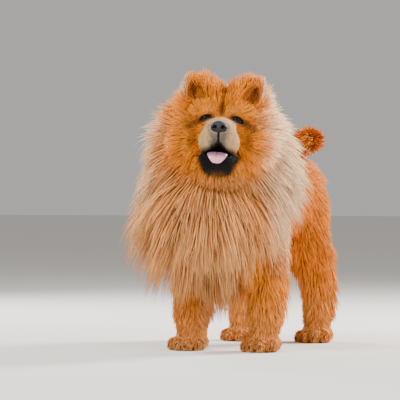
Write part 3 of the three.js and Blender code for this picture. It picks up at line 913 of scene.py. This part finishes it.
def bake_map(made, faces, per, uv):
    """The map that the bake reads: each tuft is a small patch at its root's place."""
    layer = made.data.uv_layers.new(name="OFBake")
    which = faces // per
    corner = faces % per
    ring = corner // 3
    lift = ring / max(1, (per - 1) // 3)
    aside = np.where(corner == per - 1, 0.5, (corner % 3) / 2)
    place = np.clip(uv, 0.004, 0.993)[which]
    place = place + BAKE_PATCH * (np.stack([aside, lift], axis=2) - 0.5)
    layer.data.foreach_set("uv", place.astype(np.float32).ravel())


PIECES = {
    "coat_face": ("head", "muzzle_fur"),
    "coat_head_left": ("head", "coat"),
    "coat_head_right": ("head", "coat"),
    "coat_ruff_left": ("ruff", "mane"),
    "coat_ruff_right": ("ruff", "mane"),
    "coat_nape": ("ruff", "mane"),
    "coat_chest": ("ruff", "mane"),
    "coat_body_left": ("body", "coat"),
    "coat_body_right": ("body", "coat"),
    "coat_tail": ("tail", "coat"),
    "coat_forelegs": ("leg", "coat"),
    "coat_hindlegs": ("leg", "coat"),
    "coat_paws": ("leg", "paw_fur"),
}


def piece_of(hair):
    """The name of the coat piece that each tuft belongs to."""
    region = np.array(list(REGIONS))[np.argmax(hair.share, axis=1)]
    left = hair.root[:, 0] > 0
    head_left = to_head(hair.root)[:, 0] > 0
    short = hair.numbers[:, LENGTH] < SHORT_HAIR
    piece = np.where(left, "coat_body_left", "coat_body_right").astype("U20")
    on_head = np.isin(region, [*HEAD_REGIONS, "ear"])
    piece[on_head] = np.where(head_left, "coat_head_left", "coat_head_right")[on_head]
    piece[on_head & short] = "coat_face"
    ruff = region == "neck"
    piece[ruff] = np.where(left, "coat_ruff_left", "coat_ruff_right")[ruff]
    piece[ruff & (hair.out[:, 2] > 0.25)] = "coat_nape"
    for name in ("chest", "tail"):
        piece[region == name] = f"coat_{name}"
    for name, ending in (("foreleg", "forelegs"), ("thigh", "hindlegs"), ("paw", "paws")):
        piece[region == name] = f"coat_{ending}"
    return piece


# Materials


def new_material(name):
    material = bpy.data.materials.new(name)
    material.use_nodes = True
    return material, material.node_tree, material.node_tree.nodes["Principled BSDF"]


def set_inputs(node, **values):
    """Sets sockets by name, with an underscore for each space."""
    for name, value in values.items():
        node.inputs[name.replace("_", " ")].default_value = value
    return node


def painted(tree, attribute, pattern, bump, distance, height):
    """The painted colour and the nodes of a pattern that also raises a bump."""
    colour = tree.nodes.new("ShaderNodeVertexColor")
    colour.layer_name = attribute
    place = tree.nodes.new("ShaderNodeTexCoord")
    raised = set_inputs(tree.nodes.new("ShaderNodeBump"), Strength=bump, Distance=distance)
    tree.links.new(place.outputs["Object"], pattern.inputs["Vector"])
    tree.links.new(pattern.outputs[height], raised.inputs["Height"])
    tree.links.new(raised.outputs["Normal"], tree.nodes["Principled BSDF"].inputs["Normal"])
    return colour.outputs["Color"]


def coat_material(name, roughness, grain, scale, bump):
    """Hair or skin: the painted colour, broken up by fine noise, with a bump."""
    material, tree, shader = new_material(name)
    noise = set_inputs(tree.nodes.new("ShaderNodeTexNoise"), Scale=scale, Detail=3.0)
    colour = painted(tree, "coat", noise, bump, 0.001, "Fac")
    spread = set_inputs(tree.nodes.new("ShaderNodeMapRange"), To_Min=1 - grain, To_Max=1 + grain)
    mix = tree.nodes.new("ShaderNodeVectorMath")
    mix.operation = "SCALE"
    tree.links.new(noise.outputs["Fac"], spread.inputs["Value"])
    tree.links.new(colour, mix.inputs[0])
    tree.links.new(spread.outputs["Result"], mix.inputs["Scale"])
    tree.links.new(mix.outputs["Vector"], shader.inputs["Base Color"])
    set_inputs(shader, Roughness=roughness, Specular_IOR_Level=0.12, Sheen_Weight=0.02, Sheen_Roughness=0.4)
    return material


def moist_material(name, attribute, roughness, scale, bump, film=0.0, shine=0.5):
    """Eyes, nose, tongue and claws: a painted colour under a wet film, with a pebbled bump."""
    material, tree, shader = new_material(name)
    cells = set_inputs(tree.nodes.new("ShaderNodeTexVoronoi"), Scale=scale)
    colour = painted(tree, attribute, cells, bump, 0.0006, "Distance")
    tree.links.new(colour, shader.inputs["Base Color"])
    set_inputs(shader, Roughness=roughness, Specular_IOR_Level=shine, Coat_Weight=film, Coat_Roughness=0.12)
    return material


# Properties


def colour_property(name, description, default):
    return bpy.props.FloatVectorProperty(
        name=name, description=description, default=default, subtype="COLOR", size=3, min=0, max=1
    )


class ChowSizes(bpy.types.PropertyGroup):
    thinning: bpy.props.FloatProperty(
        name="Tuft spacing",
        description="Spacing of the tufts against the full coat",
        default=1.0,
        min=0.8,
        max=4,
    )
    coat_depth: bpy.props.FloatProperty(
        name="Coat depth",
        description="Length of the hair against the full coat",
        default=1.0,
        min=0.3,
        max=1.2,
    )
    clump_size: bpy.props.IntProperty(
        name="Clump size",
        description="Tufts that share a guide in the long coat",
        default=46,
        min=4,
        max=400,
    )
    seed: bpy.props.IntProperty(name="Seed", description="Start of the random numbers", default=7)


class ChowColours(bpy.types.PropertyGroup):
    coat: colour_property("Coat", "The red of the head, ruff and legs", (0.92, 0.285, 0.006))
    # the deep coat is also the base of the painted shade in the folds of the face
    deep: colour_property("Deep coat", "The deeper red of the flanks and creases", (0.62, 0.14, 0.008))
    chest: colour_property("Chest", "The tan of the chest", (0.84, 0.43, 0.165))
    # the fringe colour is also the painted highlight on the ruff's sides, mixed with their paler hair
    cream: colour_property("Fringe", "The cream of the ruff's edges", (1.0, 0.79, 0.54))
    muzzle: colour_property("Muzzle", "The short hair of the muzzle", (0.76, 0.49, 0.25))
    grey: colour_property("Grey", "The hair next to the nose", (0.19, 0.172, 0.155))
    lip: colour_property("Lips", "Lips, chin and eye rims", (0.007, 0.006, 0.007))
    nose: colour_property("Nose", "Nose leather", (0.028, 0.033, 0.037))
    tongue: colour_property("Tongue", "The tip of the tongue", (0.86, 0.33, 0.42))
    tongue_root: colour_property("Tongue root", "The back of the tongue", (0.10, 0.05, 0.12))
    iris: colour_property("Iris", "The eye's iris", (0.014, 0.007, 0.004))
    claw: colour_property("Claw", "Claws", (0.05, 0.04, 0.035))
    floor: colour_property("Floor", "Studio floor", (0.78, 0.76, 0.73))


@functools.cache
def the_dog():
    """The skin's field, worked out once and shared by the operators."""
    return Dog()


FLESH = (
    ["head", "muzzle", "lower_jaw", "neck", "torso", "tail"]
    + [f"ear_{side}" for side in SIDES]
    + [f"{limb}_{end}_{side}" for limb in ("leg", "paw") for end in ("front", "hind") for side in SIDES]
)


class CHOW_OT_skin(bpy.types.Operator):
    """One skin for the whole body, with ears, lids, lips and toes"""

    bl_idname = "chow.skin"
    bl_label = "Skin"

    def execute(self, context):
        colours = context.scene.chow_colours
        dog = the_dog()
        skin = mesh_object("skin", dog.points, dog.quads)
        # painted shade: the skin under the coat is painted darker than the coat, less so on the muzzle and
        # jaw, where the hair is short
        shade = coat_colour(dog.points, colours) * SKIN_SHADE
        velvet = part(dog.shares(dog.points), "muzzle", "jaw")
        shade = shade * (1 + 0.5 * velvet)[:, None]
        paint(skin, "coat", np.clip(shade, 0, 1))
        finish_piece(skin, coat_material("skin", 0.75, 0.12, 260.0, 0.5), FLESH)
        return {"FINISHED"}


def detail_field(centre, half, step):
    """A fine grid round one small form of the head."""
    low, high = from_head(centre) - half, from_head(centre) + half
    return Field(*[np.arange(a, b + step, step) for a, b in zip(low, high)])


def tube(rings, around, start=0):
    """Triangles between rings of points, each ring joined to the next."""
    faces = []
    for ring in range(rings - 1):
        for j in range(around):
            m = start + ring * around + j
            n = start + ring * around + (j + 1) % around
            faces += [(m, m + around, n + around), (m, n + around, n)]
    return faces


class CHOW_OT_eyes(bpy.types.Operator):
    """Two dark brown eyes with a clear bulge over the iris"""

    bl_idname = "chow.eyes"
    bl_label = "Eyes"

    rings = 23
    around = 32
    radius = EYE_RADIUS - EYE_GAP
    bulge = 0.06
    pupil = (0.004, 0.003, 0.003)
    white = (0.007, 0.005, 0.005)

    def execute(self, context):
        colours = context.scene.chow_colours
        material = moist_material("eye", "eye", 0.12, 300.0, 0.0, shine=0.12)
        ring_angles = np.linspace(0, np.pi, self.rings + 2)[1:-1]
        turns = np.linspace(0, 2 * np.pi, self.around, endpoint=False)
        angle, turn = np.meshgrid(ring_angles, turns, indexing="ij")
        r = self.radius * (1 + self.bulge * np.exp(-((angle / 0.55) ** 4)))
        wide = r * np.sin(angle)
        ball = np.stack([wide * np.cos(turn), -r * np.cos(angle), wide * np.sin(turn)], axis=2)
        poles = np.array([[0, -self.radius * (1 + self.bulge), 0], [0, self.radius, 0]])
        front, back = angle.size, angle.size + 1
        last = front - self.around
        faces = tube(self.rings, self.around)
        for j in range(self.around):
            k = (j + 1) % self.around
            faces += [(front, j, k), (back, last + k, last + j)]
        away = np.concatenate([angle.ravel(), [0, np.pi]])
        for side, s in SIDES.items():
            local = np.vstack([ball.reshape(-1, 3), poles]) + np.array([s * EYE_ASIDE, EYE_DEPTH, 0])
            eye = mesh_object(f"eye_{side}_ball", from_head(local), np.array(faces))
            shade = plain(colours.iris, local)
            shade = blended(shade, self.pupil, ramp(-away, -0.34, -0.26))
            shade = blended(shade, self.white, ramp(away, 0.78, 0.9))
            paint(eye, "eye", shade)
            finish_piece(eye, material, [f"eye_{side}"])
        return {"FINISHED"}


class CHOW_OT_nose(bpy.types.Operator):
    """The broad nose leather with its nostrils"""

    bl_idname = "chow.nose"
    bl_label = "Nose"

    hollow = (0.003, 0.003, 0.003)
    underside = (0.004, 0.004, 0.005)

    def execute(self, context):
        colours = context.scene.chow_colours
        field = detail_field((0, -64, -36), 30.0, 0.9)
        field.add([head_bead((0, -64, -33), (15.5, 14.5, 11.5), blend=5)])
        field.add([head_bead((s * 9.8, -66, -37), (8.8, 11.5, 9.2), blend=6) for s in (-1, 1)])
        field.add([head_bead((0, -68, -42), (5.5, 10, 7.5), blend=5)])
        for middle, radii, turn, blend in (
            ((9.4, -78, -37.5), (5.0, 9, 4.4), 22, 1.8),
            ((14.5, -74, -39.5), (5, 6, 1.6), 30, 1.5),
        ):
            for s in (-1, 1):
                place = (s * middle[0], *middle[1:])
                field.cut([head_bead(place, radii, turned(s * turn), blend=blend)])
        groove = [(0, -80, -34, 0.8, 2), (0, -79, -42, 0.9, 2), (0, -76, -50, 1, 2)]
        field.cut(chain(groove, 5, "muzzle", 1.5, in_head=True))
        points, quads = field.surface()
        nose = mesh_object("nose_leather", points, quads)
        h = to_head(points)
        shade = plain(colours.nose, points)
        # painted shade: the nostrils are painted near black inside their hollows
        for s in (-1, 1):
            inside = ovoid(h, (s * 8.8, -74, -37.5), (4.8, 8, 4.2))
            shade = blended(shade, self.hollow, ramp(-inside, -1.1, -0.95))
        # painted shade: the underside of the nose is painted darker than its top
        shade = blended(shade, self.underside, 0.7 * ramp(-h[:, 2], 35, 44))
        paint(nose, "nose", shade)
        material = moist_material("nose_leather", "nose", 0.62, 900.0, 0.4, shine=0.3)
        finish_piece(nose, material, ["nose"])
        return {"FINISHED"}


class CHOW_OT_mouth(bpy.types.Operator):
    """The tongue, lying in the jaw and over the lower lip"""

    bl_idname = "chow.mouth"
    bl_label = "Tongue"

    def execute(self, context):
        colours = context.scene.chow_colours
        field = detail_field((0, -18, -98), 66.0, 1.1)
        line = [
            (0, 30, -91, 17, 4),
            (0, 0, -91, 21, 4.5),
            (0, -30, -91, 23, 4.5),
            (0, -50, -94, 22, 4.2),
            (0, -60, -104, 17, 3.8),
            (0, -61, -114, 9, 3.2),
        ]
        groove = [
            (0, 20, -86, 1.2, 1.6),
            (0, -30, -86, 1.2, 1.8),
            (0, -56, -93, 1.2, 1.8),
            (0, -66, -106, 1, 1.4),
        ]
        field.add(chain(line, 26, "jaw", 4, in_head=True))
        field.cut(chain(groove, 16, "jaw", 3, in_head=True))
        points, quads = field.surface()
        tongue = mesh_object("tongue_flesh", points, quads)
        h = to_head(points)
        root = np.maximum(ramp(h[:, 1], -60, -46), 0.8 * ramp(h[:, 2], -108, -94))
        paint(tongue, "tongue", blended(plain(colours.tongue, points), colours.tongue_root, root))
        material = moist_material("tongue", "tongue", 0.35, 1100.0, 0.2, film=0.4)
        finish_piece(tongue, material, ["tongue"])
        return {"FINISHED"}


class CHOW_OT_claws(bpy.types.Operator):
    """Sixteen short dark claws"""

    bl_idname = "chow.claws"
    bl_label = "Claws"

    rings = 7
    around = 8

    def execute(self, context):
        colours = context.scene.chow_colours
        material = moist_material("claw", "claw", 0.6, 700.0, 0.1, shine=0.2)
        for (end, s), foot in FEET.items():
            side = "left" if s > 0 else "right"
            points, faces = [], []
            for toe in TOES:
                base = len(points)
                points += self.claw(foot, *toe)
                faces += tube(self.rings, self.around, base)
                last = base + (self.rings - 1) * self.around
                for j in range(1, self.around - 1):
                    faces += [(base, base + j, base + j + 1), (last, last + j + 1, last + j)]
            claws = mesh_object(f"claws_{end}_{side}", np.array(points), np.array(faces))
            paint(claws, "claw", plain(colours.claw, np.array(points)))
            finish_piece(claws, material, [f"claw_{end}_{side}_{i + 1}" for i in range(4)])
        return {"FINISHED"}

    def claw(self, foot, aside, ahead, degrees):
        """Rings of points along one claw, from its root to its tip."""
        a = math.radians(degrees)
        points = []
        for share in np.linspace(0, 1, self.rings):
            forward = -PAW_LENGTH * 0.13 - share * 20
            high = 16 - 10 * share**2
            size = 4.4 * (1 - share) ** 0.7 + 0.25
            for j in range(self.around):
                b = 2 * np.pi * j / self.around
                wide = 0.72 * size * math.cos(b)
                x = foot[0] + aside * PAW_WIDTH + math.cos(a) * wide - math.sin(a) * forward
                y = foot[1] + ahead * PAW_LENGTH + math.sin(a) * wide + math.cos(a) * forward
                points.append((x, y, max(0.3, high + size * math.sin(b))))
        return points


class CHOW_OT_coat(bpy.types.Operator):
    """The coat: tufts over the whole skin, from velvet on the muzzle to the long ruff"""

    bl_idname = "chow.coat"
    bl_label = "Coat"

    def execute(self, context):
        sizes, colours = context.scene.chow_sizes, context.scene.chow_colours
        rng = np.random.default_rng(sizes.seed)
        dog = the_dog()
        thinning = sizes.thinning * 1.0
        hair = Hair(dog, thinning, rng)
        hair.numbers[:, LENGTH] *= sizes.coat_depth
        piece = piece_of(hair)
        material = coat_material("coat", 0.6, 0.10, 90.0, 0.0)
        for name, (kind, slot) in PIECES.items():
            picked = np.flatnonzero(piece == name)
            if not len(picked):
                continue
            steps = 2 if hair.numbers[picked, LENGTH].mean() < SHORT_HAIR else 4
            line = grow(dog, hair, picked, steps, 0.015 * steps, kind == "tail", rng)
            tone = rng.uniform(*TUFT_TONES, len(picked))
            if steps == 4:
                line, guide = clumped(line, hair.numbers[picked, CLUMP], sizes.clump_size, rng)
                tone *= rng.uniform(*CLUMP_TONES, len(picked))[guide]
            line[:, :, 2] = np.maximum(line[:, :, 2], LOWEST_HAIR)
            width = hair.numbers[picked, WIDTH] * rng.uniform(*TUFT_WIDTHS, len(picked))
            points, faces, per = tuft_mesh(line, hair.out[picked], width, SWELL[steps + 1])
            tufts = mesh_object(name, points, faces)
            paint(tufts, "coat", self.shades(line, tone, colours))
            bake_map(tufts, faces, per, wrap(hair.root[picked], kind))
            finish_piece(tufts, material)
        return {"FINISHED"}

    @staticmethod
    def shades(line, tone, colours):
        """A colour for each vertex: darker at the root as painted shade deep in the coat, each tuft a
        little different.
        """
        rings = line.shape[1] - 1
        # painted shade: the root end of each tuft is painted darker than its tip
        root_shade = coat_colour(line[:, 0], colours) * (ROOT_SHADE * tone)[:, None]
        tip_shade = coat_colour(line[:, -1], colours) * tone[:, None]
        share = np.repeat(np.linspace(0, 1, rings + 1)[:-1], 3)
        share = np.concatenate([share, [1.0]]) ** 0.7
        shade = root_shade[:, None] + (tip_shade - root_shade)[:, None] * share[None, :, None]
        return np.clip(shade.reshape(-1, 3), 0, 1)


class CHOW_OT_studio(bpy.types.Operator):
    """Pale floor, soft light and the photograph's camera"""

    bl_idname = "chow.studio"
    bl_label = "Studio"

    def execute(self, context):
        scene = context.scene
        self.floor(scene)
        self.world(scene)
        middle = metres(np.array([0, 100, 320]))
        for name, azimuth, height, distance, size, power, colour in LIGHTS:
            self.area_light(name, middle, azimuth, height, distance, size, power, colour)
        self.camera(scene)
        return {"FINISHED"}

    @staticmethod
    def floor(scene):
        mesh = bpy.data.meshes.new("floor")
        corners = [(x * FLOOR_REACH, y * FLOOR_REACH, 0) for x, y in ((-1, -1), (1, -1), (1, 1), (-1, 1))]
        mesh.from_pydata(corners, [], [(0, 1, 2, 3)])
        floor = bpy.data.objects.new("floor", mesh)
        scene.collection.objects.link(floor)
        material, _, shader = new_material("floor")
        set_inputs(shader, Base_Color=(*scene.chow_colours.floor, 1), Roughness=0.9)
        mesh.materials.append(material)

    @staticmethod
    def world(scene):
        world = bpy.data.worlds.new("studio")
        world.use_nodes = True
        background = world.node_tree.nodes["Background"]
        set_inputs(background, Color=WORLD_COLOUR, Strength=WORLD_STRENGTH)
        scene.world = world

    @staticmethod
    def area_light(name, middle, azimuth, height, distance, size, power, colour):
        lamp = bpy.data.lights.new(name, "AREA")
        lamp.shape = "DISK"
        lamp.size = size
        lamp.energy = power
        lamp.color = colour
        made = bpy.data.objects.new(name, lamp)
        a = math.radians(azimuth)
        place = np.array([math.sin(a) * distance, -math.cos(a) * distance, height]) + middle * (1, 1, 0)
        made.location = place
        made.rotation_euler = look(place, middle)
        bpy.context.scene.collection.objects.link(made)

    @staticmethod
    def camera(scene):
        ahead = np.array([-math.sin(CAMERA_AZIMUTH), math.cos(CAMERA_AZIMUTH), 0])
        aside = np.array([math.cos(CAMERA_AZIMUTH), math.sin(CAMERA_AZIMUTH), 0])
        place = -ahead * CAMERA_DISTANCE + aside * CAMERA_ASIDE + UP * CAMERA_HEIGHT
        lens = bpy.data.cameras.new("camera")
        lens.lens = FOCAL_LENGTH
        lens.sensor_width = SENSOR_WIDTH
        lens.clip_end = 100
        camera = bpy.data.objects.new("camera", lens)
        camera.location = metres(place)
        camera.rotation_euler = (math.pi / 2, 0, CAMERA_AZIMUTH)
        scene.collection.objects.link(camera)
        scene.camera = camera


# Each light: name, azimuth in degrees, height, distance and size in metres, watts and colour
LIGHTS = (
    ("key", -28, 2.6, 3.0, 1.6, 155, (1.0, 0.97, 0.92)),
    ("fill", 60, 1.4, 3.4, 2.2, 70, (1.0, 0.98, 0.95)),
    ("rim_left", 140, 1.7, 2.4, 0.9, 190, (1.0, 0.96, 0.9)),
    ("rim_right", -125, 1.5, 2.4, 0.9, 80, (1.0, 0.95, 0.9)),
)


def look(place, target):
    """The turn that points a light at a place."""
    away = unit(np.asarray(place) - np.asarray(target))
    return (math.acos(away[2]), 0, math.atan2(away[1], away[0]) + math.pi / 2)


class CHOW_PT_panel(bpy.types.Panel):
    bl_label = "Chow chow"
    bl_idname = "CHOW_PT_panel"
    bl_space_type = "VIEW_3D"
    bl_region_type = "UI"
    bl_category = "Chow"

    def draw(self, context):
        for group in (context.scene.chow_sizes, context.scene.chow_colours):
            for name in group.__annotations__:
                self.layout.prop(group, name)
        for operator in OPERATORS:
            self.layout.operator(operator.bl_idname)


OPERATORS = (
    CHOW_OT_skin,
    CHOW_OT_eyes,
    CHOW_OT_nose,
    CHOW_OT_mouth,
    CHOW_OT_claws,
    CHOW_OT_coat,
    CHOW_OT_studio,
)
CLASSES = (ChowSizes, ChowColours, *OPERATORS, CHOW_PT_panel)


def register():
    for cls in CLASSES:
        bpy.utils.register_class(cls)
    bpy.types.Scene.chow_sizes = bpy.props.PointerProperty(type=ChowSizes)
    bpy.types.Scene.chow_colours = bpy.props.PointerProperty(type=ChowColours)


def unregister():
    del bpy.types.Scene.chow_colours
    del bpy.types.Scene.chow_sizes
    for cls in reversed(CLASSES):
        bpy.utils.unregister_class(cls)


def main():
    register()
    bpy.ops.chow.skin()
    bpy.ops.chow.eyes()
    bpy.ops.chow.nose()
    bpy.ops.chow.mouth()
    bpy.ops.chow.claws()
    bpy.ops.chow.coat()
    bpy.ops.chow.studio()


if __name__ == "__main__":
    main()
